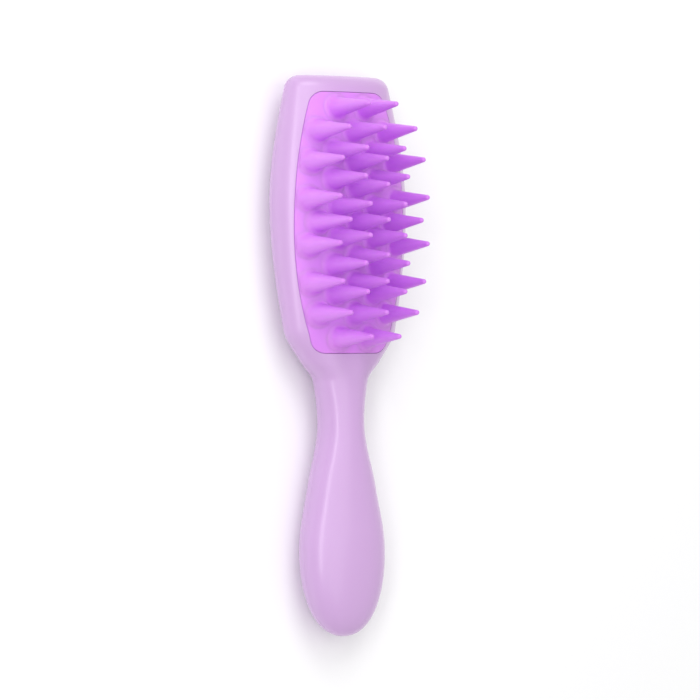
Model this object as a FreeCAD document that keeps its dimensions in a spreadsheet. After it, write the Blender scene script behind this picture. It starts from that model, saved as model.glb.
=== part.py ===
import FreeCAD, Part
import math
import os

import Sketcher
from FreeCAD import Placement, Rotation, Vector

# A long-handled grooming and scalp brush: a hollow two-piece plastic body, and a soft silicone
# pad with thirty-seven cone teeth, held on a rigid carrier that snaps into the head.
#
# Frame: the brush lies on its back. X runs along it towards the head, Y across it, and Z up,
# the way the teeth point. The origin is under the middle of the brush, on the surface it lies on.

DRIVING_SIZES = {
    # Outer body. Each station is measured along X from the end of the grip.
    "overall_length": 225.0,
    "head_station": 172.5,
    "head_base_station": 123.0,
    "shoulder_station": 110.5,
    "throat_station": 102.5,
    "neck_station": 85.5,
    "swell_station": 60.5,
    "grip_station": 34.5,
    # Full width at each station.
    "head_end_width": 45.6,
    "head_width": 62.0,
    "head_base_width": 50.8,
    "shoulder_width": 35.2,
    "throat_width": 22.6,
    "neck_width": 18.4,
    "swell_width": 28.6,
    "grip_width": 37.0,
    # Depth of the front half (towards the teeth) and of the back half, from the parting plane.
    "head_end_front": 8.6,
    "head_front": 13.5,
    "head_base_front": 10.6,
    "shoulder_front": 9.5,
    "throat_front": 9.0,
    "neck_front": 8.8,
    "swell_front": 9.9,
    "grip_front": 11.0,
    "head_end_back": 9.4,
    "head_back": 13.8,
    "head_base_back": 11.4,
    "shoulder_back": 10.4,
    "throat_back": 9.8,
    "neck_back": 9.6,
    "swell_back": 11.6,
    "grip_back": 13.6,
    "parting_height": 13.3,
    "section_power": 2.2,
    "grip_end_power": 2.2,
    "end_round": 4.6,
    "shell_wall": 2.2,
    # Pad outline, its seat in the head, and the carrier under it.
    "pad_length": 104.0,
    "pad_width": 51.2,
    "pad_side_radius": 150.0,
    "pad_corner_radius": 6.5,
    "pad_station": 165.8,
    "pad_thickness": 3.6,
    "pad_gap": 0.35,
    "well_wall": 5.0,
    "ledge_width": 2.0,
    "ledge_thickness": 1.6,
    "carrier_thickness": 2.0,
    "carrier_rim": 3.4,
    "carrier_clearance": 0.2,
    "fit_clearance": 0.05,
    "rib_width": 1.8,
    "rib_offset": 9.0,
    "plug_radius": 1.8,
    "plug_head_radius": 2.8,
    "plug_head_thickness": 1.2,
    "plug_clearance": 0.1,
    "plug_root": 0.6,
    "plug_spacing": 24.0,
    # Teeth.
    "tooth_length": 24.0,
    "tooth_root_radius": 4.2,
    "tooth_tip_radius": 1.0,
    "flex_height": 3.6,
    "socket_clearance": 0.08,
    "collar_radius": 4.75,
    "collar_top_radius": 4.5,
    "collar_height": 2.0,
    # Distance of each row of teeth from the middle row, and of its teeth from the centre line.
    "pair_row_distance": 46.0,
    "pair_row_offset": 6.5,
    "outer_row_distance": 36.5,
    "outer_row_offset": 15.6,
    "inner_pair_distance": 28.3,
    "inner_pair_offset": 8.8,
    "broad_row_distance": 24.2,
    "broad_row_offset": 19.1,
    "middle_pair_distance": 17.1,
    "middle_pair_offset": 9.9,
    "single_tooth_distance": 13.9,
    "edge_pair_distance": 9.2,
    "edge_pair_offset": 20.6,
    "close_pair_distance": 6.2,
    "close_pair_offset": 8.2,
    "centre_row_offset": 16.8,
    # Posts and pins inside.
    "post_radius": 2.4,
    "post_spacing": 56.0,
    "pin_radius": 1.6,
    "pin_height": 4.0,
    "pin_clearance": 0.05,
    "boss_radius": 3.4,
    "throat_pin_station": 103.0,
    "swell_pin_station": 64.0,
    "grip_pin_station": 28.0,
    "hook_width": 6.0,
    "hook_thickness": 1.2,
    "hook_reach": 0.9,
    "hook_height": 1.4,
    "hook_spacing": 13.0,
}

SECTION_POINTS = 24
STATIONS_PER_SPAN = 4
END_CAP_ANGLES = (18, 36, 52, 66, 77)

doc = FreeCAD.newDocument("brush")
sheet = doc.addObject("Spreadsheet::Sheet", "Sizes")
for row, (alias, value) in enumerate(DRIVING_SIZES.items(), start=1):
    sheet.set(f"A{row}", alias)
    sheet.set(f"B{row}", str(value))
    sheet.setAlias(f"B{row}", alias)
doc.recompute()


def size(alias):
    """Return one driving size from the sheet, in millimetres."""
    return float(sheet.get(alias))


def bind(item, **expressions):
    """Tie properties of a document object to cells of the sheet.

    An underscore in a keyword stands for the dot of a nested property, so
    Placement_Base_x is Placement.Base.x.
    """
    for name, expression in expressions.items():
        item.setExpression(name.replace("_", "."), with_sheet(expression))
    return item


def with_sheet(expression):
    """Return the expression with each alias in it written as a cell of the sheet."""
    words = expression.split()
    return " ".join(f"Sizes.{word}" if word in DRIVING_SIZES else word for word in words)


def add(kind, name, **expressions):
    """Add a document object and tie its properties to the sheet."""
    return bind(doc.addObject(kind, name), **expressions)


def cut(name, base, tool):
    """Return base with tool taken away."""
    item = doc.addObject("Part::Cut", name)
    item.Base = base
    item.Tool = tool
    return item


def join(name, shapes):
    """Return the union of several shapes."""
    item = doc.addObject("Part::MultiFuse", name)
    item.Shapes = shapes
    return item


def overlap(name, shapes):
    """Return what several shapes have in common."""
    item = doc.addObject("Part::MultiCommon", name)
    item.Shapes = shapes
    return item


# ---------------------------------------------------------------------------------------------
# Outer form: superellipse sections whose width and two depths follow smooth profiles along X.
# ---------------------------------------------------------------------------------------------

STATION_NAMES = ("grip", "swell", "neck", "throat", "shoulder", "head_base", "head", "head_end")


def station_x(name):
    """Return the X of a named station."""
    half_length = size("overall_length") / 2
    if name == "head_end":
        return half_length
    return size(f"{name}_station") - half_length


def smooth_profile(points, x):
    """Return the height of a smooth curve through the points at x, with no overshoot.

    The slope at each inner point is the harmonic mean of its two neighbours' slopes, and zero
    where the curve turns.
    """
    count = len(points)
    slopes = [
        (points[i + 1][1] - points[i][1]) / (points[i + 1][0] - points[i][0])
        for i in range(count - 1)
    ]
    tangents = [0.0]
    for before, after in zip(slopes, slopes[1:]):
        tangents.append(2 * before * after / (before + after) if before * after > 0 else 0.0)
    tangents.append(1.5 * slopes[-1] - 0.5 * tangents[-1])
    i = max(k for k in range(count - 1) if k == 0 or points[k][0] <= x)
    span = points[i + 1][0] - points[i][0]
    u = (x - points[i][0]) / span
    return (
        (1 + 2 * u) * (1 - u) ** 2 * points[i][1]
        + u * (1 - u) ** 2 * span * tangents[i]
        + u * u * (3 - 2 * u) * points[i + 1][1]
        + u * u * (u - 1) * span * tangents[i + 1]
    )


def profile(measure, inset):
    """Return the (x, half size) points of one profile, with each half size less the inset."""
    share = 0.5 if measure == "width" else 1.0
    points = [
        (station_x(name), share * size(f"{name}_{measure}") - inset) for name in STATION_NAMES
    ]
    points[-1] = (points[-1][0] - inset, points[-1][1])
    return points


def section_wire(x, half_width, front_depth, back_depth):
    """Return one closed section: two half superellipses that meet at the parting plane."""
    roundness = 2 / size("section_power")
    points = []
    for i in range(SECTION_POINTS):
        angle = 2 * math.pi * i / SECTION_POINTS
        across = math.copysign(abs(math.cos(angle)) ** roundness, math.cos(angle))
        up = math.copysign(abs(math.sin(angle)) ** roundness, math.sin(angle))
        depth = front_depth if up > 0 else back_depth
        points.append(Vector(x, half_width * across, size("parting_height") + depth * up))
    knots = [i / SECTION_POINTS for i in range(SECTION_POINTS + 1)]
    curve = Part.BSplineCurve()
    curve.interpolate(Points=points, PeriodicFlag=True, Parameters=knots)
    return Part.Wire([curve.toShape()])


def body_form(inset):
    """Return the solid inside the body's outer surface, made smaller all round by the inset."""
    width, front, back = (profile(measure, inset) for measure in ("width", "front", "back"))
    sections = []
    grip_x = station_x("grip")
    cap_length = size("grip_station") - inset
    power = size("grip_end_power")
    for angle in reversed(END_CAP_ANGLES):
        reach = math.sin(math.radians(angle))
        shrink = (1 - reach ** power) ** (1 / power)
        halves = [shrink * points[0][1] for points in (width, front, back)]
        sections.append(section_wire(grip_x - reach * cap_length, *halves))
    for start, end in zip(width, width[1:]):
        for step in range(STATIONS_PER_SPAN):
            x = start[0] + (end[0] - start[0]) * step / STATIONS_PER_SPAN
            sections.append(section_wire(x, *(smooth_profile(p, x) for p in (width, front, back))))
    sections.append(section_wire(width[-1][0], width[-1][1], front[-1][1], back[-1][1]))
    tip = Part.Vertex(Vector(grip_x - cap_length, 0, size("parting_height")))
    return Part.makeLoft([tip] + sections, True, False)


def add_form(name, inset):
    """Add the body form at one inset."""
    item = doc.addObject("Part::Feature", name)
    item.Shape = body_form(inset)
    return item


def round_edges(name, base, radius, wanted):
    """Round the edges of base that the wanted function picks."""
    doc.recompute()
    item = doc.addObject("Part::Fillet", name)
    item.Base = base
    item.Edges = [
        (number, radius, radius)
        for number, edge in enumerate(base.Shape.Edges, start=1)
        if wanted(edge)
    ]
    return item


def is_end_rim(edge):
    """Tell whether an edge is the rim of the body's flat head end."""
    return edge.BoundBox.XMin > station_x("head_end") - 0.01 and edge.Length > size("head_width")


def is_upright(edge):
    """Tell whether an edge runs straight up."""
    return edge.BoundBox.XLength + edge.BoundBox.YLength < 0.001


outer_form = round_edges(
    "outer_form", add_form("square_form", 0.0), size("end_round"), is_end_rim
)
hollow_form = add_form("hollow_form", size("shell_wall"))
under_pad_form = add_form("under_pad_form", size("pad_thickness"))
carrier_top_form = add_form("carrier_top_form", size("pad_thickness") + size("fit_clearance"))
under_carrier_form = add_form(
    "under_carrier_form", size("pad_thickness") + size("carrier_thickness")
)


# ---------------------------------------------------------------------------------------------
# Blocks and prisms that trim the form.
# ---------------------------------------------------------------------------------------------

PAD_X = "pad_station - overall_length / 2"
LEDGE_TOP = "parting_height + ledge_thickness"
ABOVE_ALL = "parting_height + head_front + tooth_length"


def box(name, x_from, x_to, y_from, y_to, z_from, z_to):
    """Add a box between two X, two Y and two Z."""
    return add(
        "Part::Box", name,
        Length=f"( {x_to} ) - ( {x_from} )",
        Width=f"( {y_to} ) - ( {y_from} )",
        Height=f"( {z_to} ) - ( {z_from} )",
        Placement_Base_x=x_from,
        Placement_Base_y=y_from,
        Placement_Base_z=z_from,
    )


def block(name, x_from, x_to, half_width, z_from, z_to):
    """Add a box centred on the brush's middle line."""
    return box(name, x_from, x_to, f"-1 * ( {half_width} )", half_width, z_from, z_to)


def upright_cylinder(name, x, y, radius, z_from, z_to):
    """Add a cylinder that stands at x, y between two Z."""
    return add(
        "Part::Cylinder", name,
        Radius=radius,
        Height=f"( {z_to} ) - ( {z_from} )",
        Placement_Base_x=x,
        Placement_Base_y=y,
        Placement_Base_z=z_from,
    )


def pad_prism(name, grow, z_from, z_to):
    """Add an upright prism of the pad's barrel-shaped outline, grown all round."""
    side_radius = f"pad_side_radius + {grow}"
    offset = "pad_side_radius - pad_width / 2"
    half_length = f"( pad_length / 2 + {grow} )"
    shapes = [
        upright_cylinder(f"{name}_left", PAD_X, f"-1 * ( {offset} )", side_radius, z_from, z_to),
        upright_cylinder(f"{name}_right", PAD_X, offset, side_radius, z_from, z_to),
        block(
            f"{name}_length", f"{PAD_X} - {half_length}", f"{PAD_X} + {half_length}",
            "pad_width", z_from, z_to,
        ),
    ]
    return overlap(name, shapes)


def rounded_pad_prism(name, grow, z_from, z_to):
    """Add a pad prism with rounded corners; grow is an expression in the sheet's names."""
    square = pad_prism(f"{name}_square", grow, z_from, z_to)
    doc.recompute()
    corner = size("pad_corner_radius") + evaluate(grow)
    return round_edges(name, square, corner, is_upright)


def evaluate(expression):
    """Return the value of an expression in the sheet's names."""
    return float(sheet.evalExpression(with_sheet(expression)))


upper_half = block(
    "upper_half", "-1 * overall_length", "overall_length", "head_width", "parting_height",
    ABOVE_ALL,
)
lower_half = block(
    "lower_half", "-1 * overall_length", "overall_length", "head_width", "0", "parting_height"
)
pad_block = rounded_pad_prism("pad_block", "0", "parting_height", ABOVE_ALL)
pad_well = rounded_pad_prism("pad_well", "pad_gap", LEDGE_TOP, ABOVE_ALL)
grip_block = block(
    "grip_block", "-1 * overall_length", f"{PAD_X} - pad_length / 2 - pad_gap - well_wall",
    "head_width", "0", ABOVE_ALL,
)
ledge_hole = rounded_pad_prism(
    "ledge_hole", "pad_gap - ledge_width", "parting_height - 1", LEDGE_TOP + " + 1"
)
carrier_block = rounded_pad_prism(
    "carrier_block", "pad_gap - carrier_clearance", LEDGE_TOP, ABOVE_ALL
)
carrier_core = rounded_pad_prism(
    "carrier_core", "pad_gap - carrier_clearance - carrier_rim", LEDGE_TOP, ABOVE_ALL
)
doc.recompute()


def surface_height(form, x, y):
    """Return the Z at which an upright line through x, y leaves the top of a form."""
    line = Part.makeLine(Vector(x, y, size("parting_height")), Vector(x, y, evaluate(ABOVE_ALL)))
    return form.Shape.common(line).BoundBox.ZMax


# ---------------------------------------------------------------------------------------------
# Front shell: the head frame with the pad's well and ledge, and the front of the grip.
# ---------------------------------------------------------------------------------------------

PIN_STATIONS = ("throat_pin_station", "swell_pin_station", "grip_pin_station")
PIN_BASE = "parting_height - 1"


def pin_x(station):
    """Return the expression for the X of a pin station."""
    return f"{station} - overall_length / 2"


def make_front_shell():
    """Build the front shell: solid round the pad's well, hollow from the throat down."""
    half = overlap("front_half", [outer_form, upper_half])
    hollow = overlap("grip_hollow", [hollow_form, grip_block])
    walls = cut("front_walls", half, hollow)
    bosses = [
        upright_cylinder(
            f"{station}_boss", pin_x(station), "0", "boss_radius", "parting_height",
            "parting_height + head_front",
        )
        for station in PIN_STATIONS
    ]
    inner_bosses = overlap("inner_bosses", [join("bosses", bosses), half])
    bores = [
        upright_cylinder(
            f"{station}_bore", pin_x(station), "0", "pin_radius + pin_clearance", PIN_BASE,
            "parting_height + pin_height + pin_clearance",
        )
        for station in PIN_STATIONS
    ]
    solid = join("front_solid", [walls, inner_bosses])
    openings = join("front_openings", [pad_well, ledge_hole] + bores)
    shell = cut("front_shell", solid, openings)
    shell.Label = "front_shell"
    return shell


# ---------------------------------------------------------------------------------------------
# Back shell: the rounded back, flat where the brush rests, with posts and locating pins inside.
# ---------------------------------------------------------------------------------------------


def make_back_shell():
    """Build the back shell with the posts that hold the carrier up and the locating pins."""
    half = overlap("back_half", [outer_form, lower_half])
    walls = cut("back_walls", half, hollow_form)
    posts = [
        upright_cylinder(
            f"post_{end}_{side}",
            f"{PAD_X} {'+' if end == 'upper' else '-'} post_spacing / 2",
            "rib_offset" if side == "left" else "-1 * rib_offset",
            "post_radius", "0", f"{LEDGE_TOP} - fit_clearance",
        )
        for end in ("upper", "lower") for side in ("left", "right")
    ]
    pillars = []
    for station in PIN_STATIONS:
        pillars.append(upright_cylinder(
            f"{station}_pillar", pin_x(station), "0", "boss_radius", "0", "parting_height"
        ))
        pillars.append(upright_cylinder(
            f"{station}_pin", pin_x(station), "0", "pin_radius", PIN_BASE,
            "parting_height + pin_height",
        ))
    inside = overlap("back_inside", [join("back_posts", posts + pillars), outer_form])
    shell = join("back_shell", [walls, inside])
    shell.Label = "back_shell"
    return shell


# ---------------------------------------------------------------------------------------------
# Pad carrier: a domed tray that sits on the ledge and snaps under it with four hooks.
# ---------------------------------------------------------------------------------------------

PLUG_STEPS = (-1.5, -0.5, 0.5, 1.5)


def make_hook(end, side):
    """Return the tab and the barb of one snap hook; end and side are +1 or -1."""
    name = f"hook_{'upper' if end > 0 else 'lower'}_{'left' if side > 0 else 'right'}"
    edge = f"{PAD_X} + {end} * ( pad_length / 2 + pad_gap - ledge_width )"
    face = f"{edge} - {end} * fit_clearance"
    inner = f"{face} - {end} * hook_thickness"
    reach = f"{edge} + {end} * hook_reach"
    y_from = f"{side} * hook_spacing / 2 - hook_width / 2"
    y_to = f"{side} * hook_spacing / 2 + hook_width / 2"
    barb_top = "parting_height - fit_clearance"
    barb_bottom = f"{barb_top} - hook_height"
    tab_x = (inner, face) if end > 0 else (face, inner)
    barb_x = (inner, reach) if end > 0 else (reach, inner)
    tab = box(f"{name}_tab", *tab_x, y_from, y_to, barb_bottom, f"{LEDGE_TOP} + hook_height")
    barb = box(f"{name}_barb", *barb_x, y_from, y_to, barb_bottom, barb_top)
    return [tab, barb]


def plug_places():
    """Return the X expression and the value of X of each plug, from the grip to the head."""
    return [
        (f"{PAD_X} + {step} * plug_spacing", evaluate(f"{PAD_X} + {step} * plug_spacing"))
        for step in PLUG_STEPS
    ]


def make_carrier():
    """Build the carrier, with a thick rim, two ribs on the posts, hooks and plug holes."""
    tray = overlap("carrier_solid", [carrier_top_form, carrier_block])
    core = overlap("carrier_hollow", [under_carrier_form, carrier_core])
    dome = cut("carrier_dome", tray, core)
    ribs = [
        box(
            f"rib_{side}",
            f"{PAD_X} - pad_length / 2 + carrier_rim", f"{PAD_X} + pad_length / 2 - carrier_rim",
            f"{sign} * rib_offset - rib_width / 2", f"{sign} * rib_offset + rib_width / 2",
            LEDGE_TOP, ABOVE_ALL,
        )
        for side, sign in (("left", 1), ("right", -1))
    ]
    inner_ribs = overlap("inner_ribs", [join("ribs", ribs), tray])
    hooks = [piece for end in (1, -1) for side in (1, -1) for piece in make_hook(end, side)]
    holes = [
        upright_cylinder(
            f"plug_hole_{number}", x, "0", "plug_radius + plug_clearance", LEDGE_TOP, ABOVE_ALL
        )
        for number, (x, _) in enumerate(plug_places(), start=1)
    ]
    solid = join("carrier_body", [dome, inner_ribs] + hooks)
    carrier = cut("pad_carrier", solid, join("plug_holes", holes))
    carrier.Label = "pad_carrier"
    return carrier


# ---------------------------------------------------------------------------------------------
# Teeth: a cone with a rounded tip on a ball-shaped root, whose centre is where the tooth flexes.
# ---------------------------------------------------------------------------------------------

LEFT, CENTRE, RIGHT = 1, 0, -1
PAIR = (LEFT, RIGHT)
TRIO = (LEFT, CENTRE, RIGHT)
HALF_ROWS = (
    ("pair_row", PAIR),
    ("outer_row", TRIO),
    ("inner_pair", PAIR),
    ("broad_row", TRIO),
    ("middle_pair", PAIR),
    ("single_tooth", (CENTRE,)),
    ("edge_pair", PAIR),
    ("close_pair", PAIR),
)
SIDE_NAMES = {LEFT: "left", CENTRE: "centre", RIGHT: "right"}


def tooth_places():
    """Return name, X and Y of every tooth, row by row from the head's end to the grip."""
    middle = evaluate(PAD_X)
    upper = [(name, middle + size(f"{name}_distance"), sides) for name, sides in HALF_ROWS]
    lower = [(name, middle - size(f"{name}_distance"), sides) for name, sides in HALF_ROWS]
    rows = upper + [("centre_row", middle, TRIO)] + lower[::-1]
    places = []
    for number, (row_name, x, sides) in enumerate(rows, start=1):
        for side in sides:
            offset = 0.0 if side == CENTRE else side * size(f"{row_name}_offset")
            places.append((f"tooth_{number:02d}_{SIDE_NAMES[side]}", x, offset))
    return places


def root_ball_radius():
    """Return the radius of the ball under a tooth, which passes through its root circle."""
    return math.hypot(size("tooth_root_radius"), size("flex_height"))


def origin_part(body, role):
    """Return one of a body's own origin planes or axes."""
    return next(part for part in body.Origin.OriginFeatures if part.Role == role)


def make_tooth(name, x, y):
    """Build one tooth as a revolved body that stands on the pad at x, y."""
    body = doc.addObject("PartDesign::Body", name)
    body.Label = name
    sketch = body.newObject("Sketcher::SketchObject", f"{name}_half_section")
    sketch.AttachmentSupport = (origin_part(body, "XZ_Plane"), [""])
    sketch.MapMode = "FlatFace"
    draw_tooth_section(sketch)
    turn = body.newObject("PartDesign::Revolution", f"{name}_turned")
    turn.Profile = sketch
    turn.ReferenceAxis = (sketch, ["V_Axis"])
    turn.Angle = 360
    body.Tip = turn
    body.Placement = Placement(Vector(x, y, surface_height(outer_form, x, y)), Rotation())
    return body


def draw_tooth_section(sketch):
    """Draw half the section of a tooth: root arc, flank, tip arc and axis, fully constrained."""
    root, tip = size("tooth_root_radius"), size("tooth_tip_radius")
    flex, length = size("flex_height"), size("tooth_length")
    ball = root_ball_radius()
    tip_centre = length - tip
    lean = math.asin((root - tip) / math.hypot(root, tip_centre))
    z_axis = Vector(0, 0, 1)
    root_arc = Part.ArcOfCircle(
        Part.Circle(Vector(0, flex, 0), z_axis, ball), -math.pi / 2, math.atan2(-flex, root)
    )
    tip_point = Vector(tip * math.cos(lean), tip_centre + tip * math.sin(lean), 0)
    tip_arc = Part.ArcOfCircle(
        Part.Circle(Vector(0, tip_centre, 0), z_axis, tip), lean, math.pi / 2
    )
    sketch.addGeometry(root_arc)
    sketch.addGeometry(Part.LineSegment(Vector(root, 0, 0), tip_point))
    sketch.addGeometry(tip_arc)
    sketch.addGeometry(Part.LineSegment(Vector(0, length, 0), Vector(0, flex - ball, 0)))
    start, end, centre = 1, 2, 3
    constrain(sketch, "Coincident", 0, end, 1, start)
    constrain(sketch, "Coincident", 1, end, 2, start)
    constrain(sketch, "Coincident", 2, end, 3, start)
    constrain(sketch, "Coincident", 3, end, 0, start)
    constrain(sketch, "Tangent", 1, 2)
    for geometry in (0, 2):
        constrain(sketch, "PointOnObject", geometry, centre, -2)
    for point in (start, end):
        constrain(sketch, "PointOnObject", 3, point, -2)
    constrain(sketch, "PointOnObject", 1, start, -1)
    measure(sketch, "DistanceX", "root_radius", "tooth_root_radius", -1, start, 1, start, root)
    measure(sketch, "DistanceY", "flex", "flex_height", -1, start, 0, centre, flex)
    measure(sketch, "DistanceY", "length", "tooth_length", -1, start, 2, end, length)
    measure(sketch, "Radius", "tip_radius", "tooth_tip_radius", 2, tip)


def constrain(sketch, kind, *values):
    """Add a geometric constraint."""
    sketch.addConstraint(Sketcher.Constraint(kind, *values))


def measure(sketch, kind, name, alias, *values):
    """Add a named dimension and tie it to a cell of the sheet."""
    index = sketch.addConstraint(Sketcher.Constraint(kind, *values))
    sketch.renameConstraint(index, name)
    sketch.setExpression(f"Constraints.{name}", f"Sizes.{alias}")


# ---------------------------------------------------------------------------------------------
# Pad: a soft sheet flush with the head, with a socket and collar for each tooth, held by plugs.
# ---------------------------------------------------------------------------------------------


def make_pad(places):
    """Build the pad from the outer form, so that it lies flush with the frame around it."""
    collars = []
    balls = []
    for name, x, y in places:
        seat = surface_height(outer_form, x, y)
        collar = add(
            "Part::Cone", f"{name}_collar",
            Radius1="collar_radius", Radius2="collar_top_radius",
            Height="collar_height",
            Placement_Base_z=f"{seat} - collar_height",
        )
        ball = add(
            "Part::Sphere", f"{name}_socket",
            Radius="sqrt( tooth_root_radius ^ 2 + flex_height ^ 2 ) + socket_clearance",
            Placement_Base_z=f"{seat} + flex_height",
        )
        for item in (collar, ball):
            item.Placement.Base.x = x
            item.Placement.Base.y = y
        collars.append(collar)
        balls.append(ball)
    sheet_of_pad = cut("pad_sheet", overlap("pad_solid", [outer_form, pad_block]), under_pad_form)
    plugs = [piece for place in enumerate(plug_places(), start=1) for piece in make_plug(*place)]
    solid = join("pad_with_plugs", [sheet_of_pad] + collars + plugs)
    pad = cut("bristle_pad", solid, join("sockets", balls))
    pad.Label = "bristle_pad"
    return pad


def make_plug(number, place):
    """Return the shank and the head of one plug, which goes through the carrier."""
    x_expression, x = place
    pad_underside = surface_height(under_pad_form, x, 0)
    carrier_underside = surface_height(under_carrier_form, x, 0)
    shank = upright_cylinder(
        f"plug_{number}_shank", x_expression, "0", "plug_radius",
        f"{carrier_underside} - plug_head_thickness", f"{pad_underside} + plug_root",
    )
    head = upright_cylinder(
        f"plug_{number}_head", x_expression, "0", "plug_head_radius",
        f"{carrier_underside} - plug_head_thickness", f"{carrier_underside}",
    )
    return [shank, overlap(f"plug_{number}_trimmed_head", [head, under_carrier_form])]


# ---------------------------------------------------------------------------------------------
# Assembly, checks and files.
# ---------------------------------------------------------------------------------------------


def check_objects():
    """Stop if any object failed or any shape is missing or broken."""
    for item in doc.Objects:
        if "Invalid" in item.State or "Error" in item.State:
            raise RuntimeError(f"{item.Name} did not build: {item.State}")
        if item.isDerivedFrom("Part::Feature") and not item.isDerivedFrom("Part::Part2DObject"):
            if item.Shape.isNull() or not item.Shape.isValid():
                raise RuntimeError(f"{item.Name} has no valid shape")


def write_parts(parts):
    """Write each sub-part to its own file."""
    os.makedirs("parts", exist_ok=True)
    for part in parts:
        if len(part.Shape.Solids) != 1:
            raise RuntimeError(f"{part.Label} is {len(part.Shape.Solids)} solids, not one")
        part.Shape.exportStep(f"parts/{part.Label}.step")
        print(f"{part.Label}: {part.Shape.Volume / 1000:.2f} cm3")


places = tooth_places()
sub_parts = [make_front_shell(), make_back_shell(), make_carrier(), make_pad(places)]
sub_parts += [make_tooth(*place) for place in places]
doc.recompute()
check_objects()
write_parts(sub_parts)
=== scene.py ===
"""Looks of a long-handled silicone grooming brush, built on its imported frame."""

import logging
import math
from dataclasses import dataclass, field
from enum import Enum
from typing import Optional, Sequence, Union

import bmesh
import bpy
from mathutils import Matrix, Vector


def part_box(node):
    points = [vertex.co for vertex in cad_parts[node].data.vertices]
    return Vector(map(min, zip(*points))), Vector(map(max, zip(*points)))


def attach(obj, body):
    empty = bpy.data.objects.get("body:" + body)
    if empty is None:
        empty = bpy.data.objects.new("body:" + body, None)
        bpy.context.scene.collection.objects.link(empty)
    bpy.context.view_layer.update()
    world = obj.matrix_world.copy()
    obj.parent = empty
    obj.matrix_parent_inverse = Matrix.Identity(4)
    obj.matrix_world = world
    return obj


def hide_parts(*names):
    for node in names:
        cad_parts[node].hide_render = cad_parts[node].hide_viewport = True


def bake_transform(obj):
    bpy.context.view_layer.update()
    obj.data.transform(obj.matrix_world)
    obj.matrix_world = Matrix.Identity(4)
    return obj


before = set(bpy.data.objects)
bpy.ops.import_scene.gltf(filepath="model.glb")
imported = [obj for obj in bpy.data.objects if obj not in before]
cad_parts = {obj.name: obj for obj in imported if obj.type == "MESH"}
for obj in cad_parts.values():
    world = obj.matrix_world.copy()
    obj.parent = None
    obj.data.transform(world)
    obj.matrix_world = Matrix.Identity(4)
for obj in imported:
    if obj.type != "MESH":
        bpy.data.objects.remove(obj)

LOG = logging.getLogger("grooming_brush")
MM = 0.001
NOTHING = 1e-9
BODY = "brush_body"
# Height up a tooth, from 0 to 1; it drives the silicone's painted light and shade.
HEIGHT_SHARE = "height_share"
Colour = tuple[float, float, float]
Point = tuple[float, float, float]


def linear(red: int, green: int, blue: int) -> Colour:
    """Return an 8-bit display colour as linear light."""
    shares = (channel / 255 for channel in (red, green, blue))
    return tuple(s / 12.92 if s <= 0.04045 else ((s + 0.055) / 1.055) ** 2.4 for s in shares)


def in_scene(name: str, data: bpy.types.ID) -> bpy.types.Object:
    """Return a new object of the scene.

    Args:
        name: The object's name.
        data: Its mesh, light or camera.

    Returns:
        The object, at the origin.
    """
    made = bpy.data.objects.new(name, data)
    bpy.context.scene.collection.objects.link(made)
    return made


# ---------------------------------------------------------------------------------------------
# Node graphs
# ---------------------------------------------------------------------------------------------


class Wire:
    """A number socket that takes part in Python expressions; each step adds a Math node."""

    def __init__(self, graph: "Graph", socket: bpy.types.NodeSocket) -> None:
        """Wrap one output socket of a graph."""
        self.graph = graph
        self.socket = socket

    def step(self, operation: str, *values: "Value") -> "Wire":
        """Return the result of one Math node.

        Args:
            operation: The Math node's operation.
            values: Its inputs, in order.

        Returns:
            The wire of the node's result.
        """
        made = self.graph.node("ShaderNodeMath", {"operation": operation}, dict(enumerate(values)))
        return Wire(self.graph, made.outputs[0])

    def __add__(self, other: "Value") -> "Wire":
        """Return self + other."""
        return self.step("ADD", self, other)

    def __sub__(self, other: "Value") -> "Wire":
        """Return self - other."""
        return self.step("SUBTRACT", self, other)

    def __rsub__(self, other: "Value") -> "Wire":
        """Return other - self."""
        return self.step("SUBTRACT", other, self)

    def __mul__(self, other: "Value") -> "Wire":
        """Return self * other."""
        return self.step("MULTIPLY", self, other)

    def __truediv__(self, other: "Value") -> "Wire":
        """Return self / other."""
        return self.step("DIVIDE", self, other)

    def __pow__(self, other: "Value") -> "Wire":
        """Return self to the power of other."""
        return self.step("POWER", self, other)

    def __lt__(self, other: "Value") -> "Wire":
        """Return 1 where self is under other, and 0 elsewhere."""
        return self.step("LESS_THAN", self, other)

    __radd__ = __add__
    __rmul__ = __mul__

    def least(self, other: "Value") -> "Wire":
        """Return the smaller of self and other."""
        return self.step("MINIMUM", self, other)

    def most(self, other: "Value") -> "Wire":
        """Return the larger of self and other."""
        return self.step("MAXIMUM", self, other)

    def root(self) -> "Wire":
        """Return the square root of self."""
        return self.step("SQRT", self)

    def cosine(self) -> "Wire":
        """Return the cosine of self, in radians."""
        return self.step("COSINE", self)


Value = Union[float, Wire]


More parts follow.
